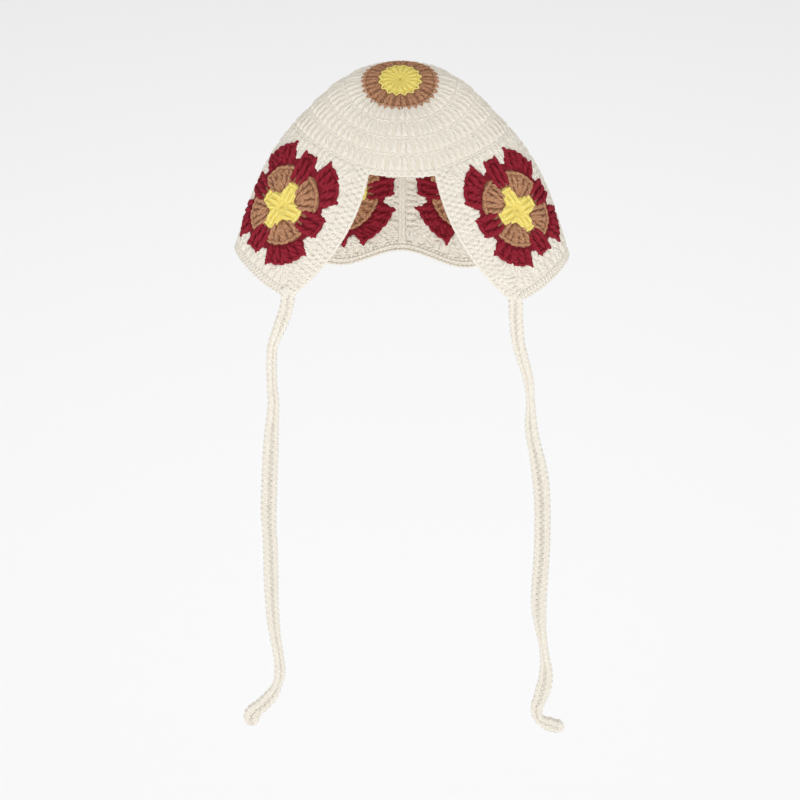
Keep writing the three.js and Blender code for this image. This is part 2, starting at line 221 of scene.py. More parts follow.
def rim_direction(around):
    forward = table_point(RIM, around + 1) - table_point(RIM, around - 1)
    outward = unit(np.stack([forward[..., 1], -forward[..., 0], 0 * forward[..., 0]], -1))
    lean = np.radians(table_at(RIM, "lean", half(around)[1]))[..., None]
    return outward * np.sin(lean) + np.array([0.0, 0.0, -1.0]) * np.cos(lean)


def bezier(points, f):
    """A curve through the first and last of three or four points, for arrays of places on it."""
    n = len(points) - 1
    total = 0
    for k, p in enumerate(points):
        weight = math.comb(n, k) * (1 - f) ** (n - k) * f**k
        total = total + weight[..., None] * p
    return total


CROWN_CENTRE = np.array([-CROWN_ASIDE, -CROWN_FORWARD, CROWN_HEIGHT])
CROWN_UP = np.array([0.0, -math.sin(CROWN_TILT), math.cos(CROWN_TILT)])
# The frame's origin is the inside of the crown's centre
ORIGIN = CROWN_CENTRE - CROWN_UP * WALL / 2


class Cloth:
    """The middle of a stretch of fabric, as a fine grid of points over two measures of it."""

    def __init__(self, first, second, points):
        self.first, self.second, self.points = first, second, points
        along_second = np.gradient(points, axis=1)
        along_first = np.gradient(points, axis=0)
        self.normals = unit(np.cross(along_second, along_first))

    def cell(self, steps, place):
        """Which step of the grid each place is in, and how far over it."""
        along = (np.clip(place, steps[0], steps[-1]) - steps[0]) / (steps[1] - steps[0])
        number = np.clip(along.astype(int), 0, len(steps) - 2)
        return number, (along - number)[..., None]

    def read(self, grid, u, v):
        i0, fi = self.cell(self.first, u)
        j0, fj = self.cell(self.second, v)
        low = grid[i0, j0] * (1 - fi) + grid[i0 + 1, j0] * fi
        high = grid[i0, j0 + 1] * (1 - fi) + grid[i0 + 1, j0 + 1] * fi
        return low * (1 - fj) + high * fj

    def at(self, u, v, height=0.0):
        u, v, height = np.broadcast_arrays(u, v, np.asarray(height, float))
        return self.read(self.points, u, v) + self.read(self.normals, u, v) * height[..., None]

    def normal(self, u, v):
        u, v = np.broadcast_arrays(u, v)
        return unit(self.read(self.normals, u, v))


CURVE_STEPS = 80


def curve_by_length(points, wanted):
    """Points of one curve for each row, at lengths that "wanted" works out from its whole length."""
    f = np.linspace(0, 1, CURVE_STEPS + 1)
    dense = bezier([p[:, None, :] for p in points], f[None, :])
    lengths = lengths_along(dense)
    rows = [point_along(curve, length, wanted(length[-1])) for curve, length in zip(dense, lengths)]
    return np.array(rows), lengths[:, -1]


def crown_cloth():
    """The crown over the angle round it and its rounds: 1 and 2 end the yellow and brown rounds."""
    around = np.arange(-200.0, 201.0, 2.0)
    rounds = np.linspace(0, LAST_ROUND + PAST_RIM, 151)
    rim = table_point(RIM, around)
    reach = np.linalg.norm(rim - CROWN_CENTRE, axis=-1, keepdims=True)
    a = np.radians(around)
    leaving = np.stack(
        [np.sin(a), -np.cos(a) * math.cos(CROWN_TILT), -np.cos(a) * math.sin(CROWN_TILT)], -1
    )
    centre = np.broadcast_to(CROWN_CENTRE, rim.shape)
    down = rim_direction(around)
    curve = [centre, centre + leaving * reach * CENTRE_HANDLE, rim - down * reach * RIM_HANDLE, rim]
    extra = PAST_RIM * (CROWN_REACH - RING_RADIUS) / PLAIN_ROUNDS

    def wanted(total):
        plain = RING_RADIUS + (rounds - 2) / PLAIN_ROUNDS * (total - RING_RADIUS)
        ring = CENTRE_RADIUS + (rounds - 1) * (RING_RADIUS - CENTRE_RADIUS)
        return np.where(rounds <= 1, rounds * CENTRE_RADIUS, np.where(rounds <= 2, ring, plain))

    points, _ = curve_by_length(curve, wanted)
    past = rounds > LAST_ROUND
    beyond = (rounds[past] - LAST_ROUND)[None, :, None] / PAST_RIM * extra
    points[:, past] = rim[:, None, :] + down[:, None, :] * beyond
    cloth = Cloth(around, rounds, points)
    cloth.normals[:, :2] = CROWN_UP
    return cloth


def skirt_cloth():
    """The fabric below the rim, over the place round it and the share of the way to the free edge."""
    around = np.arange(FLAP_FRONT - 2, 360 - FLAP_FRONT + 2.01, 1.0)
    share = np.linspace(-0.02, 1.02, 105)
    rim, bottom = table_point(RIM, around), table_point(BOTTOM, around)
    down = rim_direction(around)
    reach = np.linalg.norm(bottom - rim, axis=-1, keepdims=True)
    curve = [rim, rim + down * reach / 2, bottom]
    points, total = curve_by_length(curve, lambda t: np.clip(share, 0, 1) * t)
    end = unit(points[:, -3] - points[:, -6])
    over = np.maximum(share - 1, 0)[None, :, None] * total[:, None, None]
    under = np.minimum(share, 0)[None, :, None] * total[:, None, None]
    points = points + end[:, None, :] * over + down[:, None, :] * under
    cloth = Cloth(around, share, points)
    cloth.lengths = total
    return cloth


def forehead_cloth():
    """The strip along the forehead, over the place round the rim and the drop below it."""
    around = np.arange(-FLAP_FRONT - 2, FLAP_FRONT + 2.01, 1.0)
    drop = np.linspace(-1, FOREHEAD_EDGING + 3, 9)
    points = table_point(RIM, around)[:, None, :] + rim_direction(around)[:, None, :] * drop[None, :, None]
    return Cloth(around, drop, points)


CROWN = crown_cloth()
SKIRT = skirt_cloth()
FOREHEAD = forehead_cloth()


def place_round(around, side):
    """The place round the rim on the left half, or its like on the right."""
    return around if side > 0 else 360 - around


def skirt_length(around):
    return np.interp(around, SKIRT.first, SKIRT.lengths)


class Ground:
    """A stretch of cloth read in a pattern's own measures; turn changes them into the cloth's."""

    def __init__(self, cloth, turn):
        self.cloth, self.turn = cloth, turn

    def at(self, p, height=0.0):
        u, v = self.turn(p[..., 0], p[..., 1])
        return self.cloth.at(u, v, height)

    def normal(self, p):
        u, v = self.turn(p[..., 0], p[..., 1])
        return self.cloth.normal(u, v)


def share_of_square(place, shift, scale):
    """How much of the way over a square a place in its pattern is; the border takes up the difference."""
    side = np.sign(place)
    within = np.minimum(np.abs(place), PATTERN_HALF)
    beyond = (np.abs(place) - within) / (SQUARE_HALF - PATTERN_HALF)
    in_pattern = shift + scale * side * within
    in_square = in_pattern + (side * SQUARE_HALF - in_pattern) * beyond
    return (in_square + SQUARE_HALF) / (2 * SQUARE_HALF)


def square_ground(start, end, side, pattern):
    """A square between two places round the rim, in millimetres from its pattern's centre: along, down."""
    scale, shift_along, shift_down = pattern

    def turn(along, down):
        around = start + (end - start) * share_of_square(along, shift_along, scale)
        share = share_of_square(down, shift_down, scale)
        drop = CURVED_GAP * (1 - share) - (EDGING + CURVED_GAP) * share
        share = share + drop / skirt_length(around)
        return place_round(around, side), share

    return Ground(SKIRT, turn)


def skirt_ground(side):
    """The skirt by the place round the rim on one half, and the share of the way down."""
    return Ground(SKIRT, lambda around, share: (place_round(around, side), share))


CROWN_GROUND = Ground(CROWN, lambda around, rounds: (around, rounds))
FOREHEAD_GROUND = Ground(FOREHEAD, lambda around, drop: (around, drop))

SEAM_HALF = SEAM_WIDTH / 2 * RIM_DEGREES_PER_MM
SQUARES = {}
for _name, _side in (("left", 1), ("right", -1)):
    for _place, _start, _end in (
        ("_temple_square", SQUARE_FRONT, SIDE_SEAM - SEAM_HALF),
        ("_nape_square", SIDE_SEAM + SEAM_HALF, NAPE - SEAM_HALF),
    ):
        SQUARES[_name + _place] = square_ground(_start, _end, _side, PATTERNS[_name + _place])


# Yarn

STRAND_SIDES = 6
STRAND_STEPS = 7
STRAND_END = 0.45
# How thick the core is, and how far its middle lies outside the middle of the fabric
CORE_THICKNESS = 2.0
CORE_HEIGHT = 0.3
# Where the core's faces lie in the UV map, off the strands' own place, so that they take a deeper colour:
# painted shade in the gaps between the stitches
CORE_MARK = -1.0
# Each strand's place in the UV map is shifted along it, in millimetres, so that no two show the same fibres
SHIFT_STEP = 7.31
SHIFT_SPAN = 50


class Strand:
    """One short length of yarn, modelled once; every stitch is made of copies laid along its route."""

    def __init__(self):
        bpy.ops.object.select_all(action="DESELECT")
        bpy.ops.mesh.primitive_cylinder_add(
            vertices=STRAND_SIDES, radius=1, depth=1, end_fill_type="NGON", location=(0, 0, 0)
        )
        model = bpy.context.object
        bpy.ops.object.mode_set(mode="EDIT")
        for k in range(1, STRAND_STEPS):
            bpy.ops.mesh.select_all(action="SELECT")
            bpy.ops.mesh.bisect(plane_co=(0, 0, k / STRAND_STEPS - 0.5), plane_no=(0, 0, 1))
        bpy.ops.object.mode_set(mode="OBJECT")
        for part in (model.data.polygons, model.data.edges):
            for item in part:
                item.select = False
        for vertex in model.data.vertices:
            vertex.select = abs(vertex.co.z) > 0.49
        bpy.ops.object.mode_set(mode="EDIT")
        bpy.ops.mesh.select_mode(type="VERT")
        bpy.ops.transform.resize(value=(STRAND_END, STRAND_END, 1))
        bpy.ops.object.mode_set(mode="OBJECT")
        data = model.data
        points = np.array([v.co[:] for v in data.vertices])
        self.xy = points[:, :2]
        self.ring = np.round((points[:, 2] + 0.5) * STRAND_STEPS).astype(int)
        self.corners = np.array([l.vertex_index for l in data.loops])
        self.sizes = np.array([p.loop_total for p in data.polygons])
        turn = np.arctan2(points[:, 1], points[:, 0]) / (2 * math.pi) % 1
        around = []
        for p in data.polygons:
            values = turn[[data.loops[i].vertex_index for i in p.loop_indices]]
            if p.loop_total == 4 and values.max() - values.min() > 0.5:
                values = np.where(values < 0.5, values + 1, values)
            around.extend(values)
        self.around = np.array(around)
        bpy.data.objects.remove(model, do_unlink=True)


@cache
def strand():
    """The one strand that all the pieces share."""
    return Strand()


class Knitting:
    """The yarn of one piece, gathered strand by strand, and made one mesh at the end."""

    def __init__(self):
        self.strand = strand()
        self.points, self.corners, self.sizes, self.uvs = [], [], [], []
        self.count = 0
        self.laid = 0

    def add(self, points, corners, sizes, uvs):
        self.points.append(points)
        self.corners.append(corners + self.count)
        self.sizes.append(sizes)
        self.uvs.append(uvs)
        self.count += len(points)

    def lay(self, routes, radius, hint):
        """Lays one strand along each route; hint is a direction across each at its start."""
        model = self.strand
        n, rings = routes.shape[:2]
        radius = np.broadcast_to(np.asarray(radius, float), (n, rings))
        tangents = unit(np.gradient(routes, axis=1))
        side = np.empty_like(routes)
        last = np.broadcast_to(hint, (n, 3))
        for k in range(rings):
            t = tangents[:, k]
            last = unit(last - (last * t).sum(-1, keepdims=True) * t)
            side[:, k] = last
        up = np.cross(tangents, side)
        k = model.ring
        r = radius[:, k, None]
        x, y = model.xy[:, 0, None], model.xy[:, 1, None]
        points = routes[:, k] + side[:, k] * x * r + up[:, k] * y * r
        shift = (np.arange(n) + self.laid) * SHIFT_STEP % SHIFT_SPAN
        lengths = lengths_along(routes) + shift[:, None]
        corners = model.corners[None, :] + (np.arange(n) * len(k))[:, None]
        u = lengths[:, k[model.corners]]
        uvs = np.stack([u, np.broadcast_to(model.around, u.shape)], -1)
        self.add(points.reshape(-1, 3), corners.ravel(), np.tile(model.sizes, n), uvs.reshape(-1, 2))
        self.laid += n

    def core(self, ground, grid, ring=False):
        """A thin closed layer of fabric under the stitches, over a grid of the pattern's places."""
        rows, columns = grid.shape[:2]
        face = ground.at(grid, CORE_HEIGHT + CORE_THICKNESS / 2)
        back = ground.at(grid, CORE_HEIGHT - CORE_THICKNESS / 2)
        number = np.arange(rows * columns).reshape(rows, columns)
        if ring:
            number = np.concatenate([number, number[:1]])
        low = rows * columns
        a, b, c, d = number[:-1, :-1], number[1:, :-1], number[1:, 1:], number[:-1, 1:]
        sides = [(a, b, c, d), (a + low, d + low, c + low, b + low)]
        edges = [(number[:-1, 0], number[1:, 0]), (number[1:, -1], number[:-1, -1])]
        if not ring:
            edges += [(number[0, 1:], number[0, :-1]), (number[-1, :-1], number[-1, 1:])]
        sides += [(q, p, p + low, q + low) for p, q in edges]
        quads = np.concatenate([np.stack([corner.ravel() for corner in side], -1) for side in sides])
        points = np.concatenate([face.reshape(-1, 3), back.reshape(-1, 3)])
        # The grid may run either way round, so the faces are turned to look outward
        first = points[quads[0]]
        looks = np.cross(first[1] - first[0], first[3] - first[0])
        if (looks * (face[0, 0] - back[0, 0])).sum() < 0:
            quads = quads[:, ::-1]
        # The core's faces get the mark, so that they show the yarn's deeper colour: painted shade in the
        # gaps between the stitches
        uvs = np.stack([points[quads.ravel()][:, 0], np.full(quads.size, CORE_MARK)], -1)
        self.add(points, quads.ravel(), np.full(len(quads), 4), uvs)

    def piece(self, name, material):
        """Makes the gathered yarn one object of its own mesh."""
        points = (np.concatenate(self.points) - ORIGIN) * MM
        corners = np.concatenate(self.corners)
        sizes = np.concatenate(self.sizes)
        mesh = bpy.data.meshes.new(name)
        mesh.vertices.add(len(points))
        mesh.vertices.foreach_set("co", points.astype(np.float32).ravel())
        mesh.loops.add(len(corners))
        mesh.loops.foreach_set("vertex_index", corners.astype(np.int32))
        mesh.polygons.add(len(sizes))
        starts = np.concatenate([[0], np.cumsum(sizes)[:-1]])
        mesh.polygons.foreach_set("loop_start", starts.astype(np.int32))
        mesh.polygons.foreach_set("loop_total", sizes.astype(np.int32))
        layer = mesh.uv_layers.new(name="UVMap")
        layer.data.foreach_set("uv", np.concatenate(self.uvs).astype(np.float32).ravel())
        mesh.polygons.foreach_set("use_smooth", np.ones(len(sizes), bool))
        mesh.update(calc_edges=True)
        mesh.validate()
        mesh.materials.append(material)
        obj = bpy.data.objects.new(name, mesh)
        bpy.context.collection.objects.link(obj)
        return obj


# Stitches

# How deep the yarn's path is from the middle of the fabric, at most
DEPTH = 1.0
# Strands in one upright stitch, and the radius of each: by the yarn, or by the width of a narrow stitch
POST_STRANDS = 3
STRAND_FULL = 1.15
STRAND_SHARE = 0.29
# The least way out at which a strand winds round the middle of its stitch
LEAST_ORBIT = 0.12
# How much more or less some stitches are twisted, and how their twist and start differ from one to the next
UNEVEN_TURNS = 0.3
UNEVEN_STEP = 0.618
TURN_STEP = 0.37
# The loops on a stitch: how far down it their way is read from, where their rise is level again and how
# round it is, and how they slant through the fabric, so that each crosses over the next
LOOP_BELOW = 0.08
LOOP_LEVEL = 1.2
LOOP_CURVE = 1.7
LOOP_SLANT = 0.35


def grid_of(first, second):
    """All the places of one measure with all those of another."""
    return np.stack(np.meshgrid(first, second, indexing="ij"), -1)


def frames(ground, way):
    centre = ground.at(way)
    normal = ground.normal(way)
    along = unit(np.gradient(centre, axis=1))
    across = unit(np.cross(along, normal))
    return centre, normal, along, across


def width_between(ground, a, b):
    return np.linalg.norm(ground.at(a) - ground.at(b), axis=-1)


def uneven(count):
    """The same small unevenness at every making, one number from -1 to 1 for each stitch."""
    return np.modf(np.arange(1, count + 1) * UNEVEN_STEP)[0] * 2 - 1


def posts(
    knit, ground, base, top, width, yarn, turns, start, end, waist=0.0, crown=0.7, depth=DEPTH, bow=None
):
    """Upright stitches from base to top, each of strands twisted round each other."""
    t = np.linspace(start, end, STRAND_STEPS + 1)
    way = base[:, None] * (1 - t)[None, :, None] + top[:, None] * t[None, :, None]
    if bow is not None:
        way = way + bow[:, None] * np.sin(math.pi * np.clip(t, 0, 1))[None, :, None]
    centre, normal, _, across = frames(ground, way)
    s = np.clip(t, 0, 1)
    full = width[:, :1] * (1 - s) + width[:, 1:] * s
    full = full * (1 - waist * np.sin(math.pi * s))
    radius = np.minimum(yarn * STRAND_FULL, full * STRAND_SHARE)
    orbit = np.maximum(full / 2 - radius, LEAST_ORBIT)
    deep = np.minimum(orbit * depth / DEPTH, depth)
    rise = crown * np.sin(math.pi * s)
    turn = turns * (1 + UNEVEN_TURNS * uneven(len(base)))[:, None] * t[None, :]
    turn = turn + (np.arange(len(base)) * TURN_STEP % 1)[:, None]
    for j in range(POST_STRANDS):
        angle = 2 * math.pi * (j / POST_STRANDS + turn)
        out = np.cos(angle)[..., None] * orbit[..., None]
        lift = np.sin(angle)[..., None] * deep[..., None] + rise[None, :, None]
        knit.lay(centre + across * out + normal * lift, radius, across[:, 0])


def loops(knit, ground, base, top, width, yarn, peak, dip, lift, reach=0.64, arch=1.9, row=False):
    """The two loops along the top of each stitch, risen between the stitches of the next row."""
    s = np.linspace(-reach, reach, STRAND_STEPS + 1)
    below = base * LOOP_BELOW + top * (1 - LOOP_BELOW)
    way = np.stack([below, top], 1)
    centre, normal, along, across = frames(ground, way)
    centre, normal, along, across = (a[:, 1:2] for a in (centre, normal, along, across))
    if row:
        # Along the row itself, where its stitches lean
        beside = unit(np.gradient(centre[:, 0], axis=0))[:, None]
        across = beside * np.sign((beside * across).sum(-1, keepdims=True))
    rise = dip + (peak - dip) * np.minimum(np.abs(2 * s), LOOP_LEVEL) ** LOOP_CURVE
    out = s[None, :] * width[:, 1:]
    risen = centre + across * out[..., None] + along * rise[None, :, None]
    thick = yarn * (1 - np.abs(s) / 2)[None, :]
    for face in (1, -1):
        deep = face * lift * np.cos(s * arch) + LOOP_SLANT * s
        knit.lay(risen + normal * deep[None, :, None], thick, normal[:, 0])


class Line:
    """A narrow band along one line of a cloth: length along it, across its width, through its thickness."""

    def __init__(self, ground, route, across):
        self.ground, self.route, self.across = ground, route, across
        self.lengths = lengths_along(ground.at(route))
        self.total = self.lengths[-1]

    def at(self, s, across, deep):
        s, across, deep = np.broadcast_arrays(np.asarray(s, float), across, deep)
        a = np.interp(s, self.lengths, self.route[:, 0])
        b = np.interp(s, self.lengths, self.route[:, 1])
        here = pairs(a, b)
        beside = here + np.array(self.across)
        point = self.ground.at(here, deep)
        return point + unit(self.ground.at(beside) - self.ground.at(here)) * across[..., None]


# How long the plain strands inside a plait are, about
PLAIT_RUN = 25.0
# A stitch of a plait, in steps from stitch to stitch: its length, where it starts, and where its second
# strand lies; each column lies a quarter of a step off the middle
PLAIT_LENGTH = 1.6
PLAIT_START = -0.2
PLAIT_SECOND = 0.28
PLAIT_OFFSET = 0.25


def lay_on(knit, line, s, across, deep, radius, aside=(1, 0)):
    """Lays yarn along a band; aside, across and deep, is the way that the strands' sides face first."""
    s, across, deep = np.broadcast_arrays(s, across, deep)
    route = line.at(s, across, deep)
    beside = line.at(s[:, 0], across[:, 0] + aside[0], deep[:, 0] + aside[1])
    knit.lay(route, radius, beside - route[:, 0])


def plait(knit, line, start, end, width, stitch, yarn):
    """Two columns of plump stitches down a band, on both of its faces, and the yarn in its middle."""
    count = int(round((end - start) / stitch))
    pitch = (end - start) / count
    t = np.linspace(0, 1, STRAND_STEPS + 1)
    bow = np.sin(math.pi * np.clip(t * 1.05, 0, 1))
    bulge = np.sin(math.pi * (0.12 + 0.8 * t))
    for column in (-1, 1):
        s0 = start + (np.arange(count) + PLAIT_OFFSET * column) * pitch
        for face in (-1, 1):
            for second in (0, 1):
                s = s0[:, None] + pitch * (PLAIT_LENGTH * t + PLAIT_START + PLAIT_SECOND * second)
                out = max(width / 2 - yarn * 0.85 + 0.3, 0.3) * bow**0.8 * (1 - PLAIT_SECOND * second) - 0.3
                deep = face * (0.4 + bulge + 0.3 * second)
                lay_on(knit, line, s, column * out, deep, yarn * (0.8 + 0.3 * bow))
    # The yarn that runs on down the middle and inside both edges
    cuts = np.linspace(start, end, max(2, int((end - start) / PLAIT_RUN) + 1))
    parts = np.linspace(cuts[:-1] - 1, cuts[1:] + 1, STRAND_STEPS + 1, axis=1)
    for place, thick in ((0, 1.0), (-1, 0.9), (1, 0.9)):
        lay_on(knit, line, parts, place * (width / 2 - yarn * 1.05), 0.0, yarn * thick)


def round_off(knit, line, end, width, yarn):
    """The yarn that closes the end of a band in a half circle, on both of its faces."""
    t = np.linspace(-math.pi / 2, math.pi / 2, STRAND_STEPS + 1)[None]
    for radius in (width / 2 - yarn, width / 2 - 2.4 * yarn, yarn / 2):
        s = end - width / 2 + radius * np.cos(t)
        for face in (-1, 1):
            lay_on(knit, line, s, radius * np.sin(t), face * 0.8, yarn * 1.1, aside=(0, 1))


def turned(point, quarter, mirror):
    """A place in a square turned by quarters and, if need be, mirrored first."""
    x, y = point[..., 0], point[..., 1]
    if mirror:
        y = -y
    for _ in range(quarter):
        x, y = -y, x
    return pairs(x, y)


# In a group: how much lower each top lies than the one nearer its middle, and how much wider it is than
# its share
GROUP_DROP = 0.4
GROUP_OVERLAP = 1.08


def group(ground, base, top, width, count, spread, bulge, quarter, mirror):
    """A group of stitches out of one place, spread at the top: feet, tops, widths and how they bow out."""
    base, top = np.array(base, float), np.array(top, float)
    way = unit(top - base)
    across = np.array([-way[1], way[0]])
    j = (np.arange(count) - (count - 1) / 2)[:, None]
    step = width / count
    feet = base + across * j * spread
    tops = top + across * j * step - way * np.abs(j) * GROUP_DROP
    bow = turned(across * j * bulge, quarter, mirror)
    ends = [turned(tops + across * step / 2 * k, quarter, mirror) for k in (-1, 1)]
    wide = width_between(ground, *ends)
    feet, tops = turned(feet, quarter, mirror), turned(tops, quarter, mirror)
    return feet, tops, pairs(spread * 1.1 + 0.8, wide * GROUP_OVERLAP), bow


# The pointed end of a group: how far it reaches past the tops and beside them, how far to either side its
# strands start, and at which heights on the fabric they lie
TIP_REACH = 3.2
TIP_ASIDE = 1.4
TIP_SPREAD = 1.5
TIP_HEIGHTS = (1.7, -1.5)


def tips(knit, ground, feet, tops, yarn, mirrored):
    """The yarn drawn to a point at the free ends of a group, where the next round pulls on it."""
    t = np.linspace(0, 1, STRAND_STEPS + 1)[None, :, None]
    for end, beside in ((0, 1),) if mirrored else ((0, 1), (-1, -2)):
        foot, top = feet[end], tops[end]
        way = unit(top - foot)
        aside = unit(top - tops[beside])
        begin = foot * 0.45 + top * 0.55 + aside * TIP_SPREAD
        point = top + way * TIP_REACH + aside * TIP_ASIDE
        back = foot * 0.1 + top * 0.9 - aside * TIP_SPREAD
        for a in (begin, back):
            for height in TIP_HEIGHTS:
                route = a * (1 - t) + point * t
                path = ground.at(route, height)
                knit.lay(path, yarn * (1.3 - 0.6 * t[..., 0]), ground.normal(route)[:, 0])


# For each colour of a square: how far its yarn turns, how deep it lies, and if its groups are pointed
GROUP_YARN = {"centre": (0.5, 1.1, False), "middle": (1.0, 1.8, False), "outer": (0.9, 1.8, True)}


def square_round(knit, ground, groups, yarn, turns, depth, pointed):
    """One colour of a square: its groups of stitches, four times round."""
    for *measures, mirrored in groups:
        for quarter in range(4):
            for mirror in (False, True) if mirrored else (False,):
                feet, tops, widths, bow = group(ground, *measures, quarter, mirror)
                posts(
                    knit, ground, feet, tops, widths, yarn * 1.1,
                    turns=turns, start=0.06, end=0.93, depth=depth, bow=bow,
                )
                loops(
                    knit, ground, feet, tops, widths, yarn * 1.15,
                    peak=-0.9, dip=-0.2, lift=depth * 0.8, row=True,
                )
                if pointed:
                    tips(knit, ground, feet, tops, yarn, mirrored)


# The colours of a square: for each group its foot, its top, its width, its stitches, how far apart their
# feet are, how far the outer ones bow out, and if it is mirrored
SQUARE_GROUPS = {
    "centre": (((3.0, 0), (18.0, 0), 12.5, 3, 3.4, 1.2, False),),
    "middle": (((9.2, 7.4), (26.0, 15.8), 15.5, 3, 2.4, 1.1, True),),
    "outer": (
        ((25.5, 20.5), (40.0, 27.0), 17, 3, 5.6, 1.1, True),
        ((18.6, 0), (41.0, 0), 16.5, 3, 4.6, 1.3, False),
    ),
}
# Places round a square where the stitches of its border gather, in degrees from the middle of a side
BORDER_FEET = (-45, -22, 22, 45)
BORDER_GATHER = 0.4
BORDER_STITCHES = 16
# How far the border keeps from the burgundy and from the square's edge, and how wide a foot is at most
BORDER_MARGIN = 0.8
BORDER_FOOT = 4.6
# Height of a row of the border, at most about half as much again
BORDER_ROW = 6.8

# A square's outlines, from its centre at angles from its axis: centre, middle and outer colour
OUTLINE_ANGLES = (0, 9, 18, 27, 36, 45)
OUTLINES = {
    "centre": (19.5, 19.5, 18, 14.5, 12, 11),
    "middle": (22.5, 26, 31, 33, 32, 30.5),
    "outer": (43, 42, 34.5, 47, 50, 48.5),
}


def outline(colour, degrees):
    """How far the outline of a colour is from the square's centre; the border's is the square's edge."""
    folded = np.abs((degrees + 45) % 90 - 45)
    if colour == "border":
        return SQUARE_HALF / np.cos(np.radians(folded))
    return np.interp(folded, OUTLINE_ANGLES, OUTLINES[colour])


def border_stitches(ground):
    """The border round of a square: stitches from the burgundy's outline to the four edges."""
    feet, tops, widths = [], [], []
    place = row_of(-SQUARE_HALF, SQUARE_HALF, BORDER_STITCHES)
    edge = SQUARE_HALF - BORDER_MARGIN
    step = 2 * SQUARE_HALF / BORDER_STITCHES
    for quarter in range(4):
        degrees = np.degrees(np.arctan2(place, edge))
        gathered = np.array([min(BORDER_FEET, key=lambda f: abs(f - d)) for d in degrees])
        degrees = degrees + (gathered - degrees) * BORDER_GATHER
        radius = outline("outer", degrees) + BORDER_MARGIN
        a = np.radians(degrees)
        foot = pairs(radius * np.cos(a), radius * np.sin(a))
        top = pairs(edge, place)
        side = np.array([0, step / 2])
        ends = [turned(top + side * k, quarter, False) for k in (-1, 1)]
        wide = width_between(ground, *ends)
        feet.append(turned(foot, quarter, False))
        tops.append(turned(top, quarter, False))
        widths.append(pairs(np.minimum(wide, BORDER_FOOT), wide))
    return np.concatenate(feet), np.concatenate(tops), np.concatenate(widths)


def stacked(ground, feet, tops, widths):
    """The stitches of a border in rows: more of them, one on another, where it is wide."""
    height = width_between(ground, feet, tops)
    rows = np.clip(np.round(height / BORDER_ROW), 1, None).astype(int)
    # Every other row is half a stitch further round
    between = [(places + np.roll(places, -1, axis=0)) / 2 for places in (feet, tops)]
    for number in range(1, rows.max() + 1):
        chosen = rows == number
        for row in range(number):
            low, high = between if row % 2 else (feet, tops)
            low, high, wide = low[chosen], high[chosen], widths[chosen]
            a, b = row / number, (row + 1) / number
            at_low = wide[:, 0] * (1 - a) + wide[:, 1] * a
            at_high = wide[:, 0] * (1 - b) + wide[:, 1] * b
            if chosen.any():
                yield low * (1 - a) + high * a, low * (1 - b) + high * b, pairs(at_low, at_high)


def square_core(knit, ground, colour):
    """The thin middle of one colour of a square, up to the next colour."""
    degrees = np.arange(0, 360, 5.0)
    order = ["centre", "middle", "outer", "border"]
    place = order.index(colour)
    inner = np.full(len(degrees), 0.4) if place == 0 else outline(order[place - 1], degrees)
    outer = np.maximum(outline(colour, degrees), inner + 0.5)
    f = np.linspace(0, 1, 5)
    radius = inner[:, None] * (1 - f) + outer[:, None] * f
    a = np.radians(degrees)[:, None]
    knit.core(ground, pairs(radius * np.cos(a), radius * np.sin(a)), ring=True)


def crown_stitches(number):
    """One round of the crown: where its stitches start and end, and how wide each is."""
    count = CROWN_COUNTS[number]
    pitch = 360 / count
    angle = -180 + (np.arange(count) + 0.5 * (number % 2)) * pitch
    foot = angle
    if number:
        below = 360 / CROWN_COUNTS[number - 1]
        start = -180 + 0.5 * ((number - 1) % 2) * below
        nearest = start + np.round((angle - start) / below) * below
        foot = angle + (nearest - angle) * CROWN_GATHER
    base, top = pairs(foot, max(number, 0.1)), pairs(angle, number + 1.0)
    half_pitch = np.array([pitch / 2, 0])
    at_top = width_between(CROWN_GROUND, top - half_pitch, top + half_pitch)
    at_base = width_between(CROWN_GROUND, base - half_pitch, base + half_pitch)
    return base, top, pairs(np.maximum(at_base * CROWN_FOOT, LEAST_FOOT), at_top)


def short_row(knit, ground, base, top, width, yarn, turns, end):
    """A row of short stitches along an edge, with the loops on top lying along the row."""
    widths = np.full((len(base), 2), width)
    posts(knit, ground, base, top, widths, yarn, turns=turns, start=-0.2, end=end, crown=0.4)
    loops(
        knit, ground, base, top, widths, yarn * 0.95,
        peak=-0.7, dip=-1.3, lift=0.95, reach=0.75, row=True,
    )


def row_of(start, end, count):
    """Places for stitches side by side between two ends."""
    return start + (np.arange(count) + 0.5) * (end - start) / count


# Materials


# From one ply to the next along a strand, in millimetres
PLY_LENGTH = 3.4


def set_inputs(node, values):
    for label, value in values.items():
        node.inputs[label].default_value = value


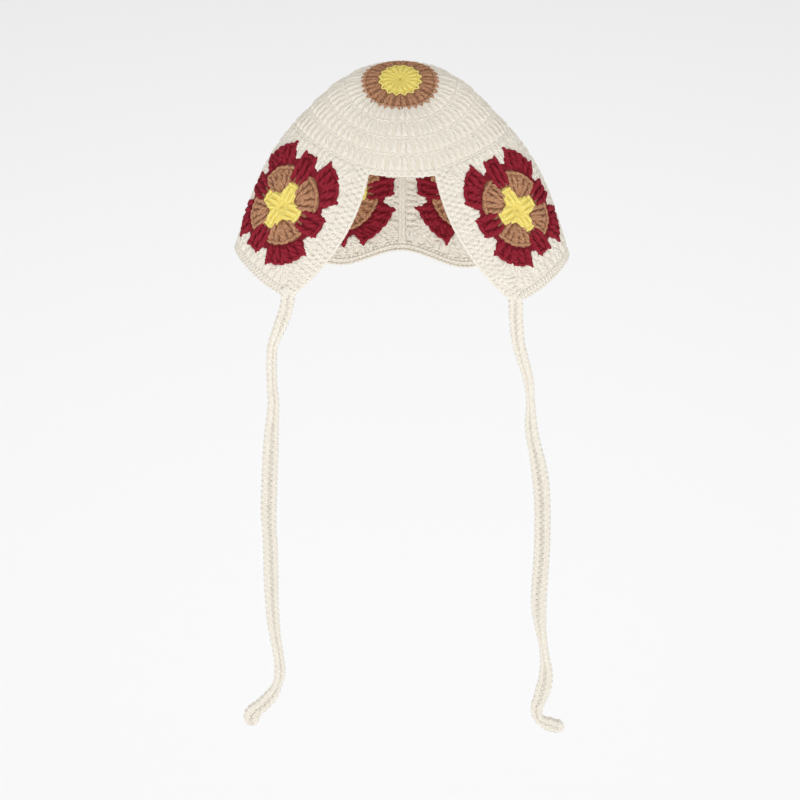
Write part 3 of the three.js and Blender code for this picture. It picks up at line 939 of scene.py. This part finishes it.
def yarn_fibres():
    """The effect that all the yarns share: plies wound round each strand, fine fibres, uneven dye, and
    painted shade between the plies and fibres and on the core.
    """
    group = bpy.data.node_groups.new("Yarn fibres", "ShaderNodeTree")
    face = group.interface
    for label, kind, value in (
        ("Yarn", "NodeSocketColor", (0.8, 0.8, 0.8, 1)),
        ("Deep", "NodeSocketColor", (0.5, 0.5, 0.5, 1)),
        ("Fleck", "NodeSocketColor", (1, 1, 1, 1)),
        ("Fleck share", "NodeSocketFloat", 0.3),
        ("Plies", "NodeSocketFloat", 0.6),
    ):
        face.new_socket(label, in_out="INPUT", socket_type=kind).default_value = value
    face.new_socket("Colour", in_out="OUTPUT", socket_type="NodeSocketColor")
    face.new_socket("Height", in_out="OUTPUT", socket_type="NodeSocketFloat")
    nodes, links = group.nodes, group.links

    def add(kind, **settings):
        node = nodes.new(kind)
        for key, value in settings.items():
            setattr(node, key, value)
        return node

    def math_node(operation, a, b=None, clamp=False):
        node = add("ShaderNodeMath", operation=operation, use_clamp=clamp)
        for socket, value in zip(node.inputs, (a, b)):
            if value is None:
                continue
            if isinstance(value, (int, float)):
                socket.default_value = value
            else:
                links.new(value, socket)
        return node.outputs[0]

    def times(a, b, clamp=False):
        return math_node("MULTIPLY", a, b, clamp)

    def plus(a, b):
        return math_node("ADD", a, b)

    def minus(a, b):
        return math_node("SUBTRACT", a, b)

    def noise(place, scale, detail):
        node = add("ShaderNodeTexNoise")
        set_inputs(node, {"Scale": scale, "Detail": detail})
        links.new(place, node.inputs["Vector"])
        return node.outputs[0]

    def mixed(share, first, second):
        node = add("ShaderNodeMix", data_type="RGBA")
        links.new(share, node.inputs["Factor"])
        links.new(first, node.inputs[6])
        links.new(second, node.inputs[7])
        return node.outputs[2]

    given = add("NodeGroupInput").outputs
    put_out = add("NodeGroupOutput").inputs
    laid = add("ShaderNodeUVMap", uv_map="UVMap")
    split = add("ShaderNodeSeparateXYZ")
    links.new(laid.outputs["UV"], split.inputs[0])
    along, around = split.outputs[0], split.outputs[1]

    # Plies: stripes that wind round the strand
    wind = plus(times(along, 1 / PLY_LENGTH), times(around, 2.0))
    ply = math_node("ABSOLUTE", math_node("SINE", times(wind, math.pi)))

    # Fibres: fine streaks that follow the plies
    streak = add("ShaderNodeCombineXYZ")
    links.new(times(along, 0.9), streak.inputs[0])
    links.new(times(wind, 7.0), streak.inputs[1])
    fibre = noise(streak.outputs[0], 1.6, 3)
    place = add("ShaderNodeTexCoord").outputs["Object"]
    fuzz = noise(place, 1500, 2)
    dye = noise(place, 130, 3)
    height = plus(times(ply, given["Plies"]), times(fibre, 0.55))
    links.new(plus(height, times(fuzz, 0.35)), put_out["Height"])

    # Painted shade: darker between the plies and fibres and on the core; darker too where the dye took
    # more, which is the yarn's own uneven colour
    shade = plus(times(minus(1.0, ply), 0.45), times(minus(0.56, fibre), 1.1))
    shade = plus(shade, times(minus(0.5, dye), 0.8))
    inside = times(math_node("LESS_THAN", around, CORE_MARK / 2), 0.7)
    shade = math_node("MAXIMUM", times(shade, 1.0, clamp=True), inside)
    dyed = mixed(shade, given["Yarn"], given["Deep"])
    fleck = times(times(minus(fuzz, 0.55), 6.0, clamp=True), given["Fleck share"])
    links.new(mixed(fleck, dyed, given["Fleck"]), put_out["Colour"])
    return group


def linear(colour):
    """A given colour, as the light that it sends back."""
    return tuple(c / 12.92 if c <= 0.04045 else ((c + 0.055) / 1.055) ** 2.4 for c in colour[:3]) + (1.0,)


def yarn_material(name, colour, deep, fleck, fleck_share):
    """Soft matt yarn of one colour, with its deeper colour as painted shade between the plies and on the
    core, and as its uneven dye.
    """
    found = bpy.data.materials.get(name)
    if found:
        return found
    material = bpy.data.materials.new(name)
    material.use_nodes = True
    nodes, links = material.node_tree.nodes, material.node_tree.links
    group = nodes.new("ShaderNodeGroup")
    group.node_tree = bpy.data.node_groups.get("Yarn fibres") or yarn_fibres()
    set_inputs(group, {"Yarn": linear(colour), "Deep": linear(deep), "Fleck": linear(fleck)})
    set_inputs(group, {"Fleck share": fleck_share})
    bump = nodes.new("ShaderNodeBump")
    set_inputs(bump, {"Strength": 0.5, "Distance": 0.0004})
    shader = nodes["Principled BSDF"]
    set_inputs(shader, {"Roughness": 0.95, "Specular IOR Level": 0.15})
    set_inputs(shader, {"Sheen Weight": 0.06, "Sheen Roughness": 0.6, "Sheen Tint": linear(colour)})
    links.new(group.outputs["Colour"], shader.inputs["Base Color"])
    links.new(group.outputs["Height"], bump.inputs["Height"])
    links.new(bump.outputs[0], shader.inputs["Normal"])
    return material


# What a user would change


class BonnetSizes(bpy.types.PropertyGroup):
    yarn: FloatProperty(
        name="Yarn", description="Radius of the yarn in the fabric",
        default=1.45 * MM, min=0.5 * MM, max=2.5 * MM, subtype="DISTANCE", unit="LENGTH",
    )
    edge_stitches: IntProperty(
        name="Edge stitches", description="Stitches along the free bottom edge",
        default=132, min=40, max=200,
    )
    edge_rows: IntProperty(
        name="Edge rows", description="Rows along the bottom edge; the flaps' fronts have one more",
        default=2, min=1, max=4,
    )
    tie_width: FloatProperty(
        name="Tie width", description="Width of each tie where it lies flat",
        default=13.2 * MM, min=6 * MM, max=20 * MM, subtype="DISTANCE", unit="LENGTH",
    )
    tie_stitch: FloatProperty(
        name="Tie stitch", description="Length of one stitch along a tie",
        default=5.4 * MM, min=3 * MM, max=10 * MM, subtype="DISTANCE", unit="LENGTH",
    )
    elevation: FloatProperty(
        name="Camera height", description="How far above the bonnet's level the camera looks from",
        default=math.radians(32), subtype="ANGLE", unit="ROTATION",
    )
    distance: FloatProperty(
        name="Camera distance", description="From the camera to the middle of the bonnet and its ties",
        default=5.0, subtype="DISTANCE", unit="LENGTH",
    )


class BonnetColours(bpy.types.PropertyGroup):
    cream: FloatVectorProperty(
        name="Cream", description="Yarn of the bonnet",
        default=(0.892, 0.872, 0.832), subtype="COLOR_GAMMA",
    )
    yellow: FloatVectorProperty(
        name="Yellow", description="Yarn of the centres",
        default=(0.915, 0.86, 0.50), subtype="COLOR_GAMMA",
    )
    brown: FloatVectorProperty(
        name="Brown", description="Yarn of the second round",
        default=(0.73, 0.54, 0.41), subtype="COLOR_GAMMA",
    )
    burgundy: FloatVectorProperty(
        name="Burgundy", description="Yarn of the third round",
        default=(0.56, 0.13, 0.19), subtype="COLOR_GAMMA",
    )
    floor: FloatVectorProperty(
        name="Floor", description="Floor under the bonnet",
        default=(0.97, 0.97, 0.97), subtype="COLOR_GAMMA",
    )


def sizes():
    return bpy.context.scene.bonnet_sizes


def colours():
    return bpy.context.scene.bonnet_colours


# Each yarn: its colour, its deeper colour (painted shade between the plies and on the core, and the darker
# parts of its uneven dye), its lighter flecks, and how many of these there are
def cream():
    return yarn_material("Cream yarn", colours().cream, (0.86, 0.825, 0.765), (0.96, 0.95, 0.92), 0.25)


def yellow():
    return yarn_material("Yellow yarn", colours().yellow, (0.87, 0.77, 0.36), (0.97, 0.93, 0.64), 0.25)


def brown():
    return yarn_material("Brown yarn", colours().brown, (0.40, 0.24, 0.16), (0.86, 0.71, 0.58), 0.6)


def burgundy():
    return yarn_material("Burgundy yarn", colours().burgundy, (0.40, 0.07, 0.12), (0.72, 0.30, 0.34), 0.25)


def finish(knit, name, material, slot):
    """Makes a piece of the gathered yarn, which takes the place of the solid of its name."""
    piece = knit.piece(name + "_stitches", material)
    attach(piece, "root")
    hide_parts(name)
    return piece


# Steps of the making


# A long lens, so that near and far parts look nearly the same size, aimed at the middle of bonnet and ties
SENSOR = 36
LENS = 275.7
AIM = (-0.0001, -0.0293, -0.2805)


class BONNET_OT_camera(bpy.types.Operator):
    """Sets the camera in front of the bonnet and above it"""

    bl_idname = "bonnet.camera"
    bl_label = "Set the camera"

    def execute(self, context):
        lift, away = sizes().elevation, sizes().distance
        data = bpy.data.cameras.new("Camera")
        data.sensor_width = SENSOR
        data.lens = LENS
        camera = bpy.data.objects.new("Camera", data)
        context.collection.objects.link(camera)
        camera.location = Vector(AIM) + Vector((0, -math.cos(lift), math.sin(lift))) * away
        camera.rotation_euler = (math.pi / 2 - lift, 0, 0)
        context.scene.camera = camera
        return {"FINISHED"}


def tie_route(points):
    """A tie's route as a smooth curve, by length, in the pattern's millimetres."""
    p = np.array([(x, TIE_DEPTH, z) for x, z in points], float)
    ends = np.concatenate([[2 * p[0] - p[1]], p, [2 * p[-1] - p[-2]]])
    f = np.linspace(0, 1, TIE_SMOOTHING + 1)[:-1, None]
    a, b, c, d = (ends[k : k + len(p) - 1, None] for k in range(4))
    bent = (2 * a - 5 * b + 4 * c - d) * f**2 + (3 * b - a - 3 * c + d) * f**3
    curve = b + ((c - a) * f + bent) / 2
    curve = np.concatenate([curve.reshape(-1, 3), p[-1:]])
    return curve, lengths_along(curve)


class Tie:
    """A tie's own measures: length along it, across its width and through its thickness."""

    def __init__(self, points, twist, widths, curl, side):
        self.curve, self.lengths = tie_route(points)
        self.total = self.lengths[-1]
        self.twist = twist
        self.widths = widths
        self.curl = np.array([curl[0], 0.0, curl[1]])
        self.side = side

    def at(self, s, across, deep):
        s, across, deep = np.broadcast_arrays(np.asarray(s, float), across, deep)
        keys, widths = zip(*self.widths)
        drawn = np.interp(s / self.total, keys, widths)
        room = (drawn / 2 - TIE_YARN) / (sizes().tie_width / MM / 2 - TIE_YARN)
        across, deep = across * room, deep * (0.4 + 0.6 * room)

        def point(v):
            inside = point_along(self.curve, self.lengths, v)
            end = unit(self.curve[-1] - self.curve[-4])
            start = unit(self.curve[0] - self.curve[3])
            past = np.maximum(v - self.total, 0)[..., None]
            over = past * end + past**2 * self.curl
            under = np.maximum(-v, 0)[..., None] * start
            return inside + over + under

        along = unit(point(s + 3) - point(s - 3))
        flat = np.stack([-along[..., 2], 0 * along[..., 0], along[..., 0]], -1)
        face = np.array([0.0, -1.0, 0.0])
        keys, turns = zip(*self.twist)
        turn = np.radians(np.interp(s / self.total, keys, turns))[..., None] * self.side
        wide = flat * np.cos(turn) + face * np.sin(turn)
        thick = -flat * np.sin(turn) + face * np.cos(turn)
        return point(s) + wide * across[..., None] + thick * deep[..., None]


class BONNET_OT_ties(bpy.types.Operator):
    """Works the two ties that hang from the flaps"""

    bl_idname = "bonnet.ties"
    bl_label = "Work the ties"

    def execute(self, context):
        width, stitch = sizes().tie_width / MM, sizes().tie_stitch / MM
        for name, points, twist, widths, curl, side in (
            ("left", LEFT_TIE, LEFT_TWIST, LEFT_WIDTHS, LEFT_CURL, 1),
            ("right", RIGHT_TIE, RIGHT_TWIST, RIGHT_WIDTHS, RIGHT_CURL, -1),
        ):
            tie = Tie(points, twist, widths, curl, side)
            knit = Knitting()
            plait(knit, tie, TIE_START, tie.total, width, stitch, TIE_YARN)
            piece = finish(knit, name + "_tie", cream(), "cream_yarn")
            knit = Knitting()
            tip = tie.total + TIE_END
            plait(knit, tie, tie.total - 1.0, tip - width / 3, width, TIE_END_STITCH, TIE_YARN)
            round_off(knit, tie, tip, width, TIE_YARN)
            end = finish(knit, name + "_tie_end", cream(), "cream_yarn")
            path = [tuple(p) for p in (np.array([(x, TIE_DEPTH, z) for x, z in points]) - ORIGIN) * MM]
            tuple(path[0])
        return {"FINISHED"}


class BONNET_OT_crown(bpy.types.Operator):
    """Works the crown in rounds from its centre"""

    bl_idname = "bonnet.crown"
    bl_label = "Work the crown"

    def execute(self, context):
        yarn = sizes().yarn / MM
        around = np.arange(0, 360, 7.5) - 180
        for name, rounds, material, slot in (
            ("crown_centre", (0, 1), yellow(), "yellow_yarn"),
            ("crown_ring", (1, 2), brown(), "brown_yarn"),
            ("crown_rounds", (2, LAST_ROUND), cream(), "cream_yarn"),
        ):
            knit = Knitting()
            for number in range(*rounds):
                base, top, width = crown_stitches(number)
                posts(
                    knit, CROWN_GROUND, base, top, width, yarn,
                    turns=0.9, start=0.0, end=0.93, waist=0.14, crown=0.9,
                )
                peak, arch = CROWN_LOOPS[min(number, 2)]
                loops(
                    knit, CROWN_GROUND, base, top, width, yarn * 0.85,
                    peak=peak, dip=-0.5, lift=0.9, arch=arch,
                )
            low = 0.05 if rounds[0] == 0 else rounds[0] + 0.01
            high = LAST_ROUND + 0.05 if rounds[1] == LAST_ROUND else rounds[1]
            steps = np.linspace(low, high, 4 * (rounds[1] - rounds[0]) + 1)
            knit.core(CROWN_GROUND, grid_of(around, steps), ring=True)
            finish(knit, name, material, slot)
        return {"FINISHED"}


class BONNET_OT_squares(bpy.types.Operator):
    """Works the four squares in their four colours"""

    bl_idname = "bonnet.squares"
    bl_label = "Work the squares"

    def execute(self, context):
        yarn = sizes().yarn / MM
        dress = {
            "centre": (yellow(), "yellow_yarn"),
            "middle": (brown(), "brown_yarn"),
            "outer": (burgundy(), "burgundy_yarn"),
            "border": (cream(), "cream_yarn"),
        }
        for square, ground in SQUARES.items():
            for colour, (material, slot) in dress.items():
                knit = Knitting()
                if colour == "border":
                    feet, tops, widths = border_stitches(ground)
                    for low, high, wide in stacked(ground, feet, tops, widths):
                        posts(
                            knit, ground, low, high, wide, yarn,
                            turns=0.9, start=-0.1, end=1.0, crown=0.2,
                        )
                        loops(knit, ground, low, high, wide, yarn * 0.85, peak=0.1, dip=-0.3, lift=0.9)
                else:
                    square_round(knit, ground, SQUARE_GROUPS[colour], yarn, *GROUP_YARN[colour])
                square_core(knit, ground, colour)
                finish(knit, square + "_" + colour, material, slot)
        return {"FINISHED"}


# The stitches of a seam reach a little onto its neighbours; and in how many places its line is read
SEAM_STITCH_WIDTH = 6.5
SEAM_STITCH = 5.0
SEAM_PLACES = 60


class BONNET_OT_seams(bpy.types.Operator):
    """Whips the squares together down the sides and the nape"""

    bl_idname = "bonnet.seams"
    bl_label = "Sew the seams"

    def execute(self, context):
        yarn = sizes().yarn / MM
        for name, around, side in (
            ("left_seam", SIDE_SEAM, 1),
            ("right_seam", SIDE_SEAM, -1),
            ("nape_seam", NAPE, 1),
        ):
            ground = skirt_ground(side)
            knit = Knitting()
            length = skirt_length(place_round(around, side))
            share = np.linspace(CURVED_GAP / length, 1 - EDGING / length, SEAM_PLACES)
            line = Line(ground, pairs(around, share), (0.5, 0))
            plait(knit, line, 0.5, line.total - 0.5, SEAM_STITCH_WIDTH, SEAM_STITCH, yarn * 0.95)
            finish(knit, name, cream(), "cream_yarn")
        return {"FINISHED"}


# How wide a stitch is along the fronts and the forehead, and in how many places the bottom edge is read
EDGE_STITCH = 5.0
EDGE_PLACES = 400
# Where the core of the edging lies: up from the free edge, and down from the rim at the forehead
EDGING_CORE = (8.7, 4.5, 1.6)
FOREHEAD_CORE = (0.6, 2.4)


class BONNET_OT_edging(bpy.types.Operator):
    """Works the short rows along the bottom edge, the flaps' fronts and the forehead"""

    bl_idname = "bonnet.edging"
    bl_label = "Work the edging"

    def execute(self, context):
        yarn = sizes().yarn / MM
        rows = sizes().edge_rows
        self.bottom(yarn, rows)
        self.fronts(yarn, rows + 1)
        self.forehead(yarn)
        return {"FINISHED"}

    def bottom(self, yarn, rows):
        ground = Ground(SKIRT, lambda around, over: (around, 1 - over / skirt_length(around)))
        # Evenly spaced by their length along the edge
        fine = np.linspace(SQUARE_FRONT + 0.4, 2 * NAPE - SQUARE_FRONT - 0.4, EDGE_PLACES)
        lengths = lengths_along(SKIRT.at(fine, np.ones(len(fine))))
        count = sizes().edge_stitches
        knit = Knitting()
        for row in range(rows):
            tall = EDGING / rows
            places = row_of(0, lengths[-1], count) + (row % 2 - 0.5) * 0.5 * lengths[-1] / count
            around = np.interp(places, lengths, fine)
            base, top = pairs(around, EDGING - row * tall), pairs(around, EDGING - (row + 1) * tall)
            short_row(knit, ground, base, top, lengths[-1] / count, yarn, turns=0.8, end=0.55)
        knit.core(ground, grid_of(fine[::4], EDGING_CORE))
        finish(knit, "bottom_edging", cream(), "cream_yarn")

    def fronts(self, yarn, rows):
        for name, side in (("left", 1), ("right", -1)):
            ground = skirt_ground(side)
            knit = Knitting()
            length = skirt_length(place_round(FLAP_FRONT, side))
            count = int(length / EDGE_STITCH)
            deep = SQUARE_FRONT - FLAP_FRONT
            for row in range(rows):
                share = row_of(0.0, 1.0, count) + (row % 2 - 0.5) * 0.5 / count
                base = pairs(SQUARE_FRONT - deep * row / rows, share)
                top = pairs(SQUARE_FRONT - deep * (row + 1) / rows, share)
                short_row(knit, ground, base, top, length / count, yarn, turns=0.8, end=0.6)
            grid = grid_of(np.linspace(FLAP_FRONT + 1.0, SQUARE_FRONT, 4), np.linspace(0.01, 0.985, 11))
            knit.core(ground, grid)
            finish(knit, name + "_front_edging", cream(), "cream_yarn")

    def forehead(self, yarn):
        knit = Knitting()
        ends = [pairs([side * FLAP_FRONT], FOREHEAD_EDGING / 2) for side in (-1, 1)]
        length = width_between(FOREHEAD_GROUND, *ends)[0]
        count = int(length / EDGE_STITCH)
        around = row_of(-FLAP_FRONT, FLAP_FRONT, count)
        base, top = pairs(around, 0.3), pairs(around, FOREHEAD_EDGING)
        short_row(knit, FOREHEAD_GROUND, base, top, length / count, yarn, turns=0.45, end=0.5)
        knit.core(FOREHEAD_GROUND, grid_of(np.linspace(-FLAP_FRONT, FLAP_FRONT, 13), FOREHEAD_CORE))
        finish(knit, "forehead_edging", cream(), "cream_yarn")


# The floor, well below the ties
FLOOR_HEIGHT = -1.6
FLOOR_SIZE = 60


def add_light(kind, name, place, target, power):
    """A light at a place, turned to its target."""
    data = bpy.data.lights.new(name, kind)
    data.energy = power
    light = bpy.data.objects.new(name, data)
    bpy.context.collection.objects.link(light)
    light.location = place
    light.rotation_euler = (Vector(target) - Vector(place)).to_track_quat("-Z", "Y").to_euler()
    return data


class BONNET_OT_stage(bpy.types.Operator):
    """Lays a plain pale floor and sets soft studio light"""

    bl_idname = "bonnet.stage"
    bl_label = "Set the stage"

    def execute(self, context):
        bpy.ops.object.select_all(action="DESELECT")
        bpy.ops.mesh.primitive_plane_add(size=FLOOR_SIZE, location=(0, 0, 0))
        floor = context.object
        floor.name = "floor"
        for vertex in floor.data.vertices:
            vertex.co.z = FLOOR_HEIGHT
        material = bpy.data.materials.new("Pale floor")
        material.use_nodes = True
        shader = material.node_tree.nodes["Principled BSDF"]
        set_inputs(shader, {"Base Color": linear(colours().floor), "Roughness": 0.9})
        floor.data.materials.append(material)
        world = bpy.data.worlds.new("Studio")
        world.use_nodes = True
        set_inputs(world.node_tree.nodes["Background"], {"Color": (1, 1, 1, 1), "Strength": 0.61})
        context.scene.world = world
        context.scene.view_settings.view_transform = "Standard"
        for name, place, target, size, power in (
            ("Front light", (0, -9.0, -0.1), (0, 0, -0.2), 2.8, 330),
            ("Left light", (-3.6, -0.6, 0.3), (0, 0, -0.15), 2.4, 32),
            ("Right light", (3.6, -0.6, 0.3), (0, 0, -0.15), 2.4, 32),
            ("Top light", (0, 0.4, 3.0), (0, 0, 0), 1.8, 15),
            ("Floor light", (0, 2.1, 0.3), (0, 2.1, FLOOR_HEIGHT), 2.8, 12.5),
        ):
            light = add_light("AREA", name, place, target, power)
            light.shape = "DISK"
            light.size = size
        # A narrow soft light through the face opening, on the fabric inside the nape
        inner = add_light("SPOT", "Inner light", (0, -1.2, -0.42), (0, 0.05, -0.115), 14)
        inner.spot_size = math.radians(11)
        inner.spot_blend = 0.8
        inner.shadow_soft_size = 0.15
        return {"FINISHED"}


class BONNET_PT_steps(bpy.types.Panel):
    """Lists the sizes, the colours and the steps of the bonnet"""

    bl_idname = "BONNET_PT_steps"
    bl_label = "Crochet Bonnet"
    bl_space_type = "VIEW_3D"
    bl_region_type = "UI"
    bl_category = "Bonnet"

    def draw(self, context):
        layout = self.layout
        for settings in (context.scene.bonnet_sizes, context.scene.bonnet_colours):
            box = layout.box()
            for field in settings.bl_rna.properties:
                if field.identifier not in {"rna_type", "name"}:
                    box.prop(settings, field.identifier)
        for step in STEPS:
            layout.operator(step.bl_idname)


STEPS = (
    BONNET_OT_camera,
    BONNET_OT_ties,
    BONNET_OT_crown,
    BONNET_OT_squares,
    BONNET_OT_seams,
    BONNET_OT_edging,
    BONNET_OT_stage,
)
CLASSES = (BonnetSizes, BonnetColours) + STEPS + (BONNET_PT_steps,)


def register():
    for each in CLASSES:
        bpy.utils.register_class(each)
    bpy.types.Scene.bonnet_sizes = PointerProperty(type=BonnetSizes)
    bpy.types.Scene.bonnet_colours = PointerProperty(type=BonnetColours)


def unregister():
    del bpy.types.Scene.bonnet_colours
    del bpy.types.Scene.bonnet_sizes
    for each in reversed(CLASSES):
        bpy.utils.unregister_class(each)


def main():
    register()
    bpy.ops.bonnet.camera()
    bpy.ops.bonnet.ties()
    bpy.ops.bonnet.crown()
    bpy.ops.bonnet.squares()
    bpy.ops.bonnet.seams()
    bpy.ops.bonnet.edging()
    bpy.ops.bonnet.stage()


if __name__ == "__main__":
    main()
